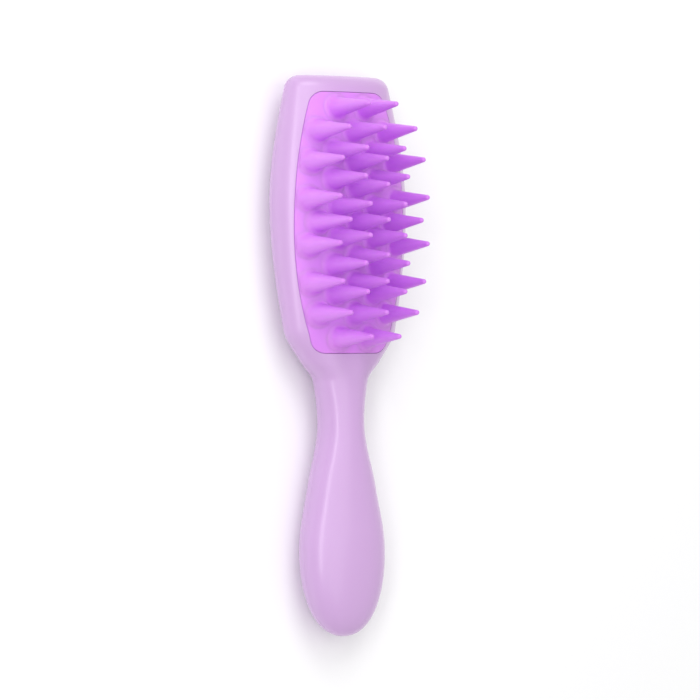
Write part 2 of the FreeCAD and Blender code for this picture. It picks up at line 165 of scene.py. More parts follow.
class Graph:
    """A shader or geometry node tree with one way to add a node."""

    def __init__(self, tree: bpy.types.NodeTree) -> None:
        """Wrap a node tree."""
        self.tree = tree

    def node(
        self, kind: str, settings: Optional[dict] = None, sockets: Optional[dict] = None
    ) -> bpy.types.Node:
        """Add a node.

        Args:
            kind: The node's type name.
            settings: Its properties, which are set before its sockets.
            sockets: What each input socket, by name or number, is set to or linked from.

        Returns:
            The new node.
        """
        made = self.tree.nodes.new(kind)
        for name, value in (settings or {}).items():
            setattr(made, name, value)
        for key, value in (sockets or {}).items():
            if isinstance(value, Wire):
                value = value.socket
            if isinstance(value, bpy.types.NodeSocket):
                self.tree.links.new(value, made.inputs[key])
            else:
                made.inputs[key].default_value = value
        return made

    def wire(self, node: bpy.types.Node, output: Union[str, int] = 0) -> Wire:
        """Return one output of a node as a wire."""
        return Wire(self, node.outputs[output])

    def mix(self, factor: Value, low: object, high: object) -> bpy.types.NodeSocket:
        """Return a colour between two others.

        Args:
            factor: The share of the second colour.
            low: The first colour, or a colour socket.
            high: The second colour, or a colour socket.

        Returns:
            The socket of the mixed colour.
        """
        made = self.node(
            "ShaderNodeMix", {"data_type": "RGBA"},
            {0: factor, 6: self._colour(low), 7: self._colour(high)},
        )
        return made.outputs[2]

    @staticmethod
    def _colour(value: object) -> object:
        """Return a colour with its fourth channel, or a socket as it is."""
        return value if isinstance(value, bpy.types.NodeSocket) else (*value, 1.0)


class Finish:
    """Base of the procedural finishes: a material whose nodes read the piece's own place."""

    name: str = "finish"

    def material(self) -> bpy.types.Material:
        """Return the finish's material, made the first time it is asked for."""
        found = bpy.data.materials.get(self.name)
        if found is not None:
            return found
        made = bpy.data.materials.new(self.name)
        made.use_nodes = True
        graph = Graph(made.node_tree)
        surface = next(n for n in graph.tree.nodes if n.type == "BSDF_PRINCIPLED")
        self.dress(graph, surface)
        return made

    def dress(self, graph: Graph, surface: bpy.types.Node) -> None:
        """Set up the surface shader; each finish has its own."""
        raise NotImplementedError

    @staticmethod
    def noise(graph: Graph, per_metre: float, detail: float = 2.0, rough: float = 0.5) -> Wire:
        """Return smooth noise on the object's own coordinates.

        Args:
            graph: The material's graph.
            per_metre: How many features a metre has.
            detail: Octaves of finer noise.
            rough: Share of the finer octaves.

        Returns:
            The noise, from 0 to 1.
        """
        place = graph.node("ShaderNodeTexCoord")
        cloud = graph.node("ShaderNodeTexNoise", None, {
            "Vector": place.outputs["Object"], "Scale": per_metre, "Detail": detail,
            "Roughness": rough,
        })
        return graph.wire(cloud, "Fac")

    @staticmethod
    def relief(graph: Graph, surface: bpy.types.Node, height: Wire, depth: float) -> None:
        """Feed a height to the shader's normal.

        Args:
            graph: The material's graph.
            surface: The surface shader.
            height: The height, from 0 to 1.
            depth: The relief's depth, in metres.
        """
        bump = graph.node(
            "ShaderNodeBump", None, {"Strength": 1.0, "Distance": depth, "Height": height}
        )
        graph.tree.links.new(bump.outputs["Normal"], surface.inputs["Normal"])

    @staticmethod
    def translucent(
        surface: bpy.types.Node, weight: float, radius: Colour, depth: float
    ) -> None:
        """Let light into the surface.

        Args:
            surface: The surface shader.
            weight: How much of the surface scatters light inside.
            radius: How far each colour of light goes, against the depth.
            depth: The greatest distance, in metres.
        """
        surface.inputs["Subsurface Weight"].default_value = weight
        surface.inputs["Subsurface Radius"].default_value = radius
        surface.inputs["Subsurface Scale"].default_value = depth


@dataclass(frozen=True)
class PearlPlastic(Finish):
    """Satin moulded plastic with a faint pearl flow and a fine orange peel."""

    name: str = "pearl_lilac_plastic"
    colour: Colour = linear(202, 161, 214)
    flow_colour: Colour = linear(207, 167, 219)
    roughness: float = 0.40
    roughness_change: float = 0.06
    flow_per_metre: float = 26.0
    peel_per_metre: float = 1500.0
    peel_depth: float = 0.006 * MM
    peel_gloss: float = 0.03
    coat: float = 0.8
    coat_roughness: float = 0.24
    glow: float = 0.08
    glow_radius: Colour = (1.0, 0.7, 1.0)
    glow_depth: float = 1.5 * MM

    def dress(self, graph: Graph, surface: bpy.types.Node) -> None:
        """Set up the plastic: drifting tint, uneven gloss and fine relief."""
        flow = self.noise(graph, self.flow_per_metre, detail=3.0)
        fine = self.noise(graph, self.peel_per_metre)
        colour = graph.mix(flow, self.colour, self.flow_colour)
        graph.tree.links.new(colour, surface.inputs["Base Color"])
        gloss = (
            self.roughness + self.roughness_change * (flow - 0.5) + self.peel_gloss * (fine - 0.5)
        )
        graph.tree.links.new(gloss.socket, surface.inputs["Roughness"])
        surface.inputs["Coat Weight"].default_value = self.coat
        surface.inputs["Coat Roughness"].default_value = self.coat_roughness
        self.translucent(surface, self.glow, self.glow_radius, self.glow_depth)
        self.relief(graph, surface, fine, self.peel_depth)


@dataclass(frozen=True)
class SoftSilicone(Finish):
    """Soft tinted silicone with a faint satin grain, lighter at the roots and on the pad and
    darker up each tooth as painted light and shade.
    """

    name: str = "soft_violet_silicone"
    # The pad and the teeth's roots get a lighter colour as painted fill light where the teeth
    # shade them, and the tips a darker one as painted shade.
    root_colour_painted_light: Colour = linear(225, 146, 244)
    tip_colour_painted_shade: Colour = linear(209, 131, 234)
    drift_colour: Colour = linear(217, 136, 241)
    painted_shade_power: float = 1.3
    drift_per_metre: float = 60.0
    roughness: float = 0.44
    drift_gloss: float = 0.10
    grain_per_metre: float = 2600.0
    grain_depth: float = 0.008 * MM
    grain_gloss: float = 0.05
    glow: float = 0.35
    glow_radius: Colour = (1.0, 0.45, 1.0)
    glow_depth: float = 3.0 * MM
    specular: float = 0.4

    def dress(self, graph: Graph, surface: bpy.types.Node) -> None:
        """Set up the silicone: painted light and shade by height up a tooth, slow drift of tint
        and satin grain.
        """
        height = graph.wire(
            graph.node("ShaderNodeAttribute", {"attribute_name": HEIGHT_SHARE}), "Fac"
        )
        drift = self.noise(graph, self.drift_per_metre)
        fine = self.noise(graph, self.grain_per_metre)
        root = graph.mix(drift, self.root_colour_painted_light, self.drift_colour)
        # Painted light and shade: lighter at the root, darker towards the tip.
        colour = graph.mix(height ** self.painted_shade_power, root, self.tip_colour_painted_shade)
        graph.tree.links.new(colour, surface.inputs["Base Color"])
        gloss = (
            self.roughness + self.drift_gloss * (drift - 0.5) + self.grain_gloss * (fine - 0.5)
        )
        graph.tree.links.new(gloss.socket, surface.inputs["Roughness"])
        self.translucent(surface, self.glow, self.glow_radius, self.glow_depth)
        surface.inputs["Specular IOR Level"].default_value = self.specular
        self.relief(graph, surface, fine, self.grain_depth)


@dataclass(frozen=True)
class CarrierPlastic(Finish):
    """Plain matt moulded plastic for the hidden carrier, with a fine spark texture."""

    name: str = "matt_carrier_plastic"
    colour: Colour = linear(226, 205, 234)
    shade_colour: Colour = linear(216, 192, 226)
    drift_per_metre: float = 45.0
    spark_per_metre: float = 3200.0
    spark_depth: float = 0.02 * MM
    roughness: float = 0.5
    spark_gloss: float = 0.12

    def dress(self, graph: Graph, surface: bpy.types.Node) -> None:
        """Set up the plastic: slow drift of tint and a sparked, matt surface."""
        drift = self.noise(graph, self.drift_per_metre)
        spark = self.noise(graph, self.spark_per_metre, detail=3.0, rough=0.6)
        graph.tree.links.new(
            graph.mix(drift, self.colour, self.shade_colour), surface.inputs["Base Color"]
        )
        gloss = self.roughness + self.spark_gloss * spark
        graph.tree.links.new(gloss.socket, surface.inputs["Roughness"])
        self.relief(graph, surface, spark, self.spark_depth)


@dataclass(frozen=True)
class StudioPaper(Finish):
    """Pale studio paper with a barely visible tooth."""

    name: str = "studio_paper"
    colour: Colour = (0.96, 0.96, 0.965)
    tooth_per_metre: float = 400.0
    tooth_tint: float = 1.01
    roughness: float = 0.95
    specular: float = 0.1

    def dress(self, graph: Graph, surface: bpy.types.Node) -> None:
        """Set up the paper: one tint with a slightly lighter grain."""
        tooth = self.noise(graph, self.tooth_per_metre)
        lighter = tuple(min(1.0, c * self.tooth_tint) for c in self.colour)
        graph.tree.links.new(graph.mix(tooth, self.colour, lighter), surface.inputs["Base Color"])
        surface.inputs["Roughness"].default_value = self.roughness
        surface.inputs["Specular IOR Level"].default_value = self.specular


# ---------------------------------------------------------------------------------------------
# Meshes
# ---------------------------------------------------------------------------------------------


Row = list[Vector]


class Skin:
    """A mesh that grows from rows of points, and closes into one object."""

    MERGE = 0.002 * MM

    def __init__(self) -> None:
        """Start with no points."""
        self.mesh = bmesh.new()

    def strip(self, rows: Sequence[Row], closed: bool = False) -> None:
        """Add quads between neighbouring rows.

        Args:
            rows: Rows of equal length.
            closed: Whether each row runs round to its own start.
        """
        grid = [[self.mesh.verts.new(point) for point in row] for row in rows]
        count = len(rows[0])
        for lower, upper in zip(grid, grid[1:]):
            for i in range(count if closed else count - 1):
                j = (i + 1) % count
                self.mesh.faces.new((lower[i], lower[j], upper[j], upper[i]))

    def close(self) -> None:
        """Merge what coincides and fill the flat openings that are left."""
        bmesh.ops.remove_doubles(self.mesh, verts=self.mesh.verts, dist=self.MERGE)
        bmesh.ops.dissolve_degenerate(self.mesh, edges=self.mesh.edges, dist=self.MERGE)
        rim = [edge for edge in self.mesh.edges if len(edge.link_faces) == 1]
        if rim:
            bmesh.ops.triangle_fill(self.mesh, use_beauty=True, use_dissolve=False, edges=rim)

    def finish(self, name: str, finish: Finish, sharp: float = 40.0) -> bpy.types.Object:
        """Return the closed skin as an object.

        Args:
            name: The object's name.
            finish: Its finish.
            sharp: The angle in degrees over which an edge is shaded sharp.

        Returns:
            The object, linked to the scene.
        """
        self.close()
        bmesh.ops.recalc_face_normals(self.mesh, faces=self.mesh.faces)
        open_edges = sum(1 for edge in self.mesh.edges if len(edge.link_faces) != 2)
        data = bpy.data.meshes.new(name)
        self.mesh.to_mesh(data)
        self.mesh.free()
        data.shade_smooth()
        data.set_sharp_from_angle(angle=math.radians(sharp))
        data.materials.append(finish.material())
        made = in_scene(name, data)
        LOG.info("%s: %d faces, %d open edges", name, len(data.polygons), open_edges)
        return made


# ---------------------------------------------------------------------------------------------
# The body's form
# ---------------------------------------------------------------------------------------------


class SmoothProfile:
    """A smooth curve through (x, height) points that never overshoots them."""

    def __init__(self, points: Sequence[tuple[float, float]]) -> None:
        """Work out the tangent at each point."""
        self.points = points
        slopes = [(b[1] - a[1]) / (b[0] - a[0]) for a, b in zip(points, points[1:])]
        self.tangents = [0.0]
        for before, after in zip(slopes, slopes[1:]):
            product = before * after
            self.tangents.append(2 * product / (before + after) if product > 0 else 0.0)
        # No curvature at the last point, which is the head's end.
        self.tangents.append(1.5 * slopes[-1] - 0.5 * self.tangents[-1])

    def at(self, x: float) -> float:
        """Return the height at x."""
        last = len(self.points) - 2
        i = max(k for k in range(last + 1) if k == 0 or self.points[k][0] <= x)
        (x0, y0), (x1, y1) = self.points[i], self.points[i + 1]
        span = x1 - x0
        u = (x - x0) / span
        return (
            (1 + 2 * u) * (1 - u) ** 2 * y0
            + u * (1 - u) ** 2 * span * self.tangents[i]
            + u * u * (3 - 2 * u) * y1
            + u * u * (u - 1) * span * self.tangents[i + 1]
        )


@dataclass(frozen=True)
class Station:
    """The body's section at one distance from the grip's end, all in millimetres."""

    along: float
    width: float
    front: float
    back: float


class Side(Enum):
    """The two halves of the body, with the way that each one's depth points."""

    FRONT = 1
    BACK = -1


@dataclass
class BodyForm:
    """The rule of the body's outer surface: superellipse sections on smooth profiles.

    A point is given by x and by q, which runs round half a section from +Y at 0 to -Y at 1.
    """

    grip_end: float
    parting: float
    stations: tuple[Station, ...] = (
        Station(34.5, 37.0, 11.0, 13.6),
        Station(60.5, 28.6, 9.9, 11.6),
        Station(85.5, 18.4, 8.8, 9.6),
        Station(102.5, 22.6, 9.0, 9.8),
        Station(110.5, 35.2, 9.5, 10.4),
        Station(123.0, 50.8, 10.6, 11.4),
        Station(172.5, 62.0, 13.5, 13.8),
        Station(225.0, 45.6, 8.6, 9.4),
    )
    section_power: float = 2.2
    grip_end_power: float = 2.2
    end_round: float = 4.6 * MM
    edge_break: float = 0.12 * MM
    edge_break_share: float = 0.2
    wall: float = 2.2 * MM
    rest_blend: float = 0.3 * MM
    profiles: dict[tuple[str, float], SmoothProfile] = field(default_factory=dict)

    @property
    def grip_x(self) -> float:
        """Return the x of the first station, where the grip's end cap begins."""
        return self.grip_end + self.stations[0].along * MM

    @property
    def head_end(self) -> float:
        """Return the x of the flat face at the head's end."""
        return self.grip_end + self.stations[-1].along * MM

    def profile(self, measure: str, inset: float) -> SmoothProfile:
        """Return the profile of one measure along the body.

        Args:
            measure: The name of the station's measure.
            inset: How far the profile is drawn in.

        Returns:
            The profile, kept for the next time.
        """
        key = (measure, inset)
        if key not in self.profiles:
            share = 0.5 if measure == "width" else 1.0
            points = [
                (self.grip_end + s.along * MM, share * getattr(s, measure) * MM - inset)
                for s in self.stations
            ]
            points[-1] = (points[-1][0] - inset, points[-1][1])
            self.profiles[key] = SmoothProfile(points)
        return self.profiles[key]

    def half_sizes(self, x: float, side: Side, inset: float = 0.0) -> tuple[float, float]:
        """Return the section's size at x, with the end cap and the end's rounding.

        Args:
            x: The place along the body.
            side: The half of the body.
            inset: How far inside the outer surface the section is.

        Returns:
            The half width and the depth.
        """
        width = self.profile("width", inset)
        depth = self.profile(side.name.lower(), inset)
        if x <= self.grip_x:
            cap = self.stations[0].along * MM - inset
            reach = min(1.0, (self.grip_x - x) / cap)
            power = self.grip_end_power
            share = max(0.0, 1 - reach ** power) ** (1 / power)
            return share * width.points[0][1], share * depth.points[0][1]
        drop = 0.0
        into = x - (self.head_end - self.end_round)
        if inset == 0 and into > 0:
            share = min(1.0, into / self.end_round)
            drop = self.end_round * (1 - math.sqrt(1 - share * share))
        return width.at(x) - drop, depth.at(x) - drop

    def _break_angle(self, depth: float) -> float:
        """Return the section angle at which the broken edge of the parting line ends."""
        share = min(self.edge_break_share, self.edge_break / max(depth, NOTHING))
        return math.asin(share ** (self.section_power / 2))

    def point(
        self, x: float, q: float, side: Side, inset: float = 0.0, share: float = 1.0
    ) -> Vector:
        """Return the point of the surface at x and q.

        Args:
            x: The place along the body.
            q: The place round half a section, from 0 to 1.
            side: The half of the body.
            inset: How far inside the outer surface the point is.
            share: How much of the section's size is left, on the flat ends.

        Returns:
            The point.
        """
        width, depth = (share * size for size in self.half_sizes(x, side, inset))
        start = self._break_angle(depth) if inset == 0 else 0.0
        angle = start + q * (math.pi - 2 * start)
        roundness = 2 / self.section_power
        across = math.copysign(abs(math.cos(angle)) ** roundness, math.cos(angle))
        up = max(0.0, math.sin(angle)) ** roundness
        z = self.parting + side.value * depth * up
        if side is Side.BACK and inset == 0:
            z = 0.5 * (z + math.hypot(z, self.rest_blend))
        return Vector((x, width * across, z))

    def rim(self, x: float, edge: int, side: Side, share: float = 1.0) -> Vector:
        """Return one point of the parting line.

        Args:
            x: The place along the body.
            edge: 1 for the +Y edge, or -1 for the -Y edge.
            side: The half of the body.
            share: How much of the section's size is left, on the flat ends.

        Returns:
            The point.
        """
        width, depth = (share * size for size in self.half_sizes(x, side))
        most = self.edge_break_share
        broken = min(self.edge_break, most * depth, most * width)
        return Vector((x, edge * (width - broken), self.parting))

    def section(self, x: float, side: Side, around: int, share: float = 1.0) -> Row:
        """Return one outer half section, from the +Y edge to the -Y edge.

        Args:
            x: The place along the body.
            side: The half of the body.
            around: How many steps the section has.
            share: How much of the section's size is left, on the flat ends.

        Returns:
            The section's points, with both points of the parting line.
        """
        inner = [self.point(x, i / around, side, 0.0, share) for i in range(around + 1)]
        return [self.rim(x, 1, side, share), *inner, self.rim(x, -1, side, share)]

    def inner_section(
        self, x: float, side: Side, around: int, inset: float, share: float = 1.0
    ) -> Row:
        """Return one half section of the hollow inside, from the +Y edge to the -Y edge.

        Args:
            x: The place along the body.
            side: The half of the body.
            around: How many steps the section has.
            inset: The wall's thickness.
            share: How much of the section's size is left, on the flat ends.

        Returns:
            The section's points.
        """
        return [self.point(x, i / around, side, inset, share) for i in range(around + 1)]

    def height(self, x: float, y: float, inset: float = 0.0) -> float:
        """Return the z of the front surface over a point of the plan.

        Args:
            x: The point's place along the body.
            y: The point's place across it.
            inset: How far inside the outer surface the height is.

        Returns:
            The height.
        """
        width, depth = self.half_sizes(x, Side.FRONT, inset)
        power = self.section_power
        share = max(0.0, 1 - min(1.0, abs(y) / width) ** power)
        return self.parting + depth * share ** (1 / power)

    def place_on(self, x: float, y: float) -> tuple[float, float]:
        """Return x and q of the front surface over a point of the plan."""
        width, depth = self.half_sizes(x, Side.FRONT)
        across = max(-1.0, min(1.0, y / width))
        angle = math.acos(math.copysign(abs(across) ** (self.section_power / 2), across))
        start = self._break_angle(depth)
        return x, (angle - start) / (math.pi - 2 * start)

    def cap_xs(self, steps: int, inset: float = 0.0) -> list[float]:
        """Return the places along the grip's end cap, from the grip station to the tip."""
        cap = self.stations[0].along * MM - inset
        return [
            self.grip_x - cap * math.sin(0.5 * math.pi * (i + 1) / steps) for i in range(steps)
        ]

    def end_xs(self, steps: int) -> list[float]:
        """Return the places along the rounded rim of the head's end, up to its flat face."""
        start = self.head_end - self.end_round
        return [
            start + self.end_round * math.sin(0.5 * math.pi * (i + 1) / steps)
            for i in range(steps)
        ]


def spread(start: float, end: float, steps: int) -> list[float]:
    """Return steps + 1 evenly spaced numbers from start to end."""
    return [start + (end - start) * i / steps for i in range(steps + 1)]


@dataclass(frozen=True)
class PadOutline:
    """The barrel-shaped plan of the pad, with rounded corners."""

    centre_x: float
    length: float = 104.0 * MM
    width: float = 51.2 * MM
    side_radius: float = 150.0 * MM
    corner_radius: float = 6.5 * MM
    line_steps: int = 16
    corner_steps: int = 16
    side_steps: int = 40

    @property
    def end_count(self) -> int:
        """Return how many steps an end has, from the middle of one corner to the next."""
        return 2 * self.line_steps + self.corner_steps

    @property
    def side_count(self) -> int:
        """Return how many steps a side has, from the middle of one corner to the next."""
        return 2 * self.side_steps + self.corner_steps

    def loop(self, grow: float) -> list[tuple[float, float]]:
        """Return the outline as points of the plan.

        It starts at the middle of the head's +Y corner and runs along the head's end, down the
        -Y side, along the grip's end and up the +Y side.

        Args:
            grow: How far the outline is grown all round.

        Returns:
            The x and y of each point.
        """
        off_centre = self.side_radius - self.width / 2
        corner_x = self.length / 2 - self.corner_radius
        reach = self.side_radius - self.corner_radius
        corner_y = math.sqrt(reach ** 2 - corner_x ** 2) - off_centre
        turn = math.atan2(corner_y + off_centre, corner_x)
        end_x = self.length / 2 + grow
        quarter = [(end_x, y) for y in spread(0, corner_y, self.line_steps)]
        corner = self.corner_radius + grow
        for angle in spread(0, turn, self.corner_steps)[1:]:
            quarter.append(
                (corner_x + corner * math.cos(angle), corner_y + corner * math.sin(angle))
            )
        side = self.side_radius + grow
        for angle in spread(turn, math.pi / 2, self.side_steps)[1:]:
            quarter.append((side * math.cos(angle), side * math.sin(angle) - off_centre))
        back = quarter[::-1]
        loop = [(x, -y) for x, y in quarter[:-1]] + [(-x, -y) for x, y in back[:-1]]
        loop += [(-x, y) for x, y in quarter[:-1]] + [(x, y) for x, y in back[:-1]]
        start = len(loop) - self.line_steps - self.corner_steps // 2
        return [(self.centre_x + x, y) for x, y in loop[start:] + loop[:start]]


# ---------------------------------------------------------------------------------------------
# Sub-assemblies
# ---------------------------------------------------------------------------------------------


@dataclass
class BodyShells:
    """The two moulded halves of the body, which meet at the parting line."""

    form: BodyForm
    outline: PadOutline
    finish: Finish = PearlPlastic()
    pad_gap: float = 0.35 * MM
    lip: float = 0.22 * MM
    ledge_width: float = 2.0 * MM
    ledge_thickness: float = 1.6 * MM
    well_wall: float = 5.0 * MM
    neck_margin: float = 7.0 * MM
    head_rings: int = 16
    lip_steps: int = 5
    end_steps: int = 9
    face_steps: int = 6
    grip_rows: int = 84
    cap_rows: int = 20

    def _head_frame(self, skin: Skin, start_x: float) -> None:
        """Add the surface round the pad's well, from the well to the parting line."""
        form, outline = self.form, self.outline
        end_x = form.head_end - form.end_round
        hole = [form.place_on(x, y) for x, y in outline.loop(self.pad_gap + self.lip)]
        ends, sides = outline.end_count, outline.side_count
        border = [(end_x, i / ends) for i in range(ends)]
        border += [(x, 1.0) for x in spread(end_x, start_x, sides)[:-1]]
        border += [(start_x, 1 - i / ends) for i in range(ends)]
        border += [(x, 0.0) for x in spread(start_x, end_x, sides)[:-1]]
        rows = []
        for t in spread(0, 1, self.head_rings):
            rows.append([
                form.point(a[0] + (b[0] - a[0]) * t, a[1] + (b[1] - a[1]) * t, Side.FRONT)
                for a, b in zip(hole, border)
            ])
        skin.strip(rows, closed=True)
        for edge, q in ((1, 0.0), (-1, 1.0)):
            xs = spread(start_x, end_x, sides)
            skin.strip([
                [form.point(x, q, Side.FRONT) for x in xs],
                [form.rim(x, edge, Side.FRONT) for x in xs],
            ])

    def _well(self, skin: Skin) -> None:
        """Add the well's rounded lip, its wall and the ledge at its foot."""
        form, outline = self.form, self.outline
        rows = []
        for angle in spread(0, math.pi / 2, self.lip_steps):
            grow = self.pad_gap + self.lip * (1 - math.sin(angle))
            fall = self.lip * (1 - math.cos(angle))
            rows.append([
                Vector((x, y, form.height(x, y) - fall)) for x, y in outline.loop(grow)
            ])
        ledge = form.parting + self.ledge_thickness
        for grow, z in (
            (self.pad_gap, ledge), (self.pad_gap - self.ledge_width, ledge),
            (self.pad_gap - self.ledge_width, form.parting),
        ):
            rows.append([Vector((x, y, z)) for x, y in outline.loop(grow)])
        skin.strip(rows, closed=True)

    def _head_face(self, side: Side, around: int) -> list[Row]:
        """Return the rows of the head's end, from the middle of its face to its rim."""
        form = self.form
        face = [
            form.section(form.head_end, side, around, share)
            for share in spread(0, 1, self.face_steps)
        ]
        rim = [form.section(x, side, around) for x in form.end_xs(self.end_steps)[:-1]]
        return face + rim[::-1]

    def front(self) -> bpy.types.Object:
        """Build the front shell: head frame, well, and the hollow front of the grip."""
        form, around = self.form, self.outline.end_count
        well_start = self.outline.centre_x - self.outline.length / 2 - self.pad_gap
        start_x = well_start - self.neck_margin
        skin = Skin()
        self._head_frame(skin, start_x)
        self._well(skin)
        start = form.section(form.head_end - form.end_round, Side.FRONT, around)
        skin.strip(self._head_face(Side.FRONT, around) + [start])
        xs = spread(start_x, form.grip_x, self.grip_rows) + form.cap_xs(self.cap_rows)
        skin.strip([form.section(x, Side.FRONT, around) for x in xs])
        hollow_end = well_start - self.well_wall
        wall = form.wall
        inside = [
            form.inner_section(hollow_end, Side.FRONT, around, wall, share)
            for share in spread(0, 1, self.face_steps)[:-1]
        ]
        inner_xs = spread(hollow_end, form.grip_x, self.grip_rows // 2)
        inner_xs += form.cap_xs(self.cap_rows, wall)
        inside += [form.inner_section(x, Side.FRONT, around, wall) for x in inner_xs]
        skin.strip(inside)
        return skin.finish("front_cover", self.finish)

    def back(self) -> bpy.types.Object:
        """Build the back shell: one smooth rounded bowl, flat where it rests."""
        form, around = self.form, self.outline.end_count
        end_x = form.head_end - form.end_round
        xs = spread(end_x, form.grip_x, 2 * self.grip_rows) + form.cap_xs(self.cap_rows)
        skin = Skin()
        skin.strip(
            self._head_face(Side.BACK, around)
            + [form.section(x, Side.BACK, around) for x in xs]
        )
        wall = form.wall
        inner_end = form.head_end - wall
        inside = [
            form.inner_section(inner_end, Side.BACK, around, wall, share)
            for share in spread(0, 1, self.face_steps)[:-1]
        ]
        inner_xs = spread(inner_end, form.grip_x, self.grip_rows)
        inner_xs += form.cap_xs(self.cap_rows, wall)
        inside += [form.inner_section(x, Side.BACK, around, wall) for x in inner_xs]
        skin.strip(inside)
        return skin.finish("back_cover", self.finish)

    def build(self) -> list[bpy.types.Object]:
        """Build both shells and tie them to the frame."""
        made = []
        for piece, node in ((self.front(), "front_shell"), (self.back(), "back_shell")):
            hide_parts(node)
            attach(piece, BODY)
            made.append(piece)
        return made


@dataclass
class SiliconePad:
    """The soft sheet that lies flush in the head, without its teeth."""

    form: BodyForm
    outline: PadOutline
    finish: Finish = SoftSilicone()
    thickness: float = 3.6 * MM
    rim_round: float = 0.3 * MM
    swell: float = 0.22 * MM
    rim_steps: int = 6
    rings: int = 30
    under_rings: int = 10

    def _ring(self, share: float, grow: float, inset: float, fall: float = 0.0) -> Row:
        """Return one ring of the sheet.

        Args:
            share: The ring's size against the outline.
            grow: How far the outline is grown first.
            inset: How far under the form's surface the ring is.
            fall: How much lower still it is.

        Returns:
            The ring's points.
        """
        middle = self.outline.centre_x
        row = []
        for x, y in self.outline.loop(grow):
            x, y = middle + share * (x - middle), share * y
            row.append(Vector((x, y, self.form.height(x, y, inset) - fall)))
        return row

    def build(self) -> bpy.types.Object:
        """Build the pad and tie it to the frame."""
        skin = Skin()
        rows = [
            self._ring(share, self.swell - self.rim_round, 0.0)
            for share in spread(0, 1, self.rings)
        ]
        for angle in spread(0, math.pi / 2, self.rim_steps)[1:]:
            grow = self.swell - self.rim_round * (1 - math.sin(angle))
            rows.append(self._ring(1.0, grow, 0.0, self.rim_round * (1 - math.cos(angle))))
        rows += [
            self._ring(share, self.swell, self.thickness)
            for share in spread(1, 0, self.under_rings)
        ]
        skin.strip(rows, closed=True)
        made = skin.finish("silicone_pad", self.finish)
        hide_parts("bristle_pad")
        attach(made, BODY)
        return made


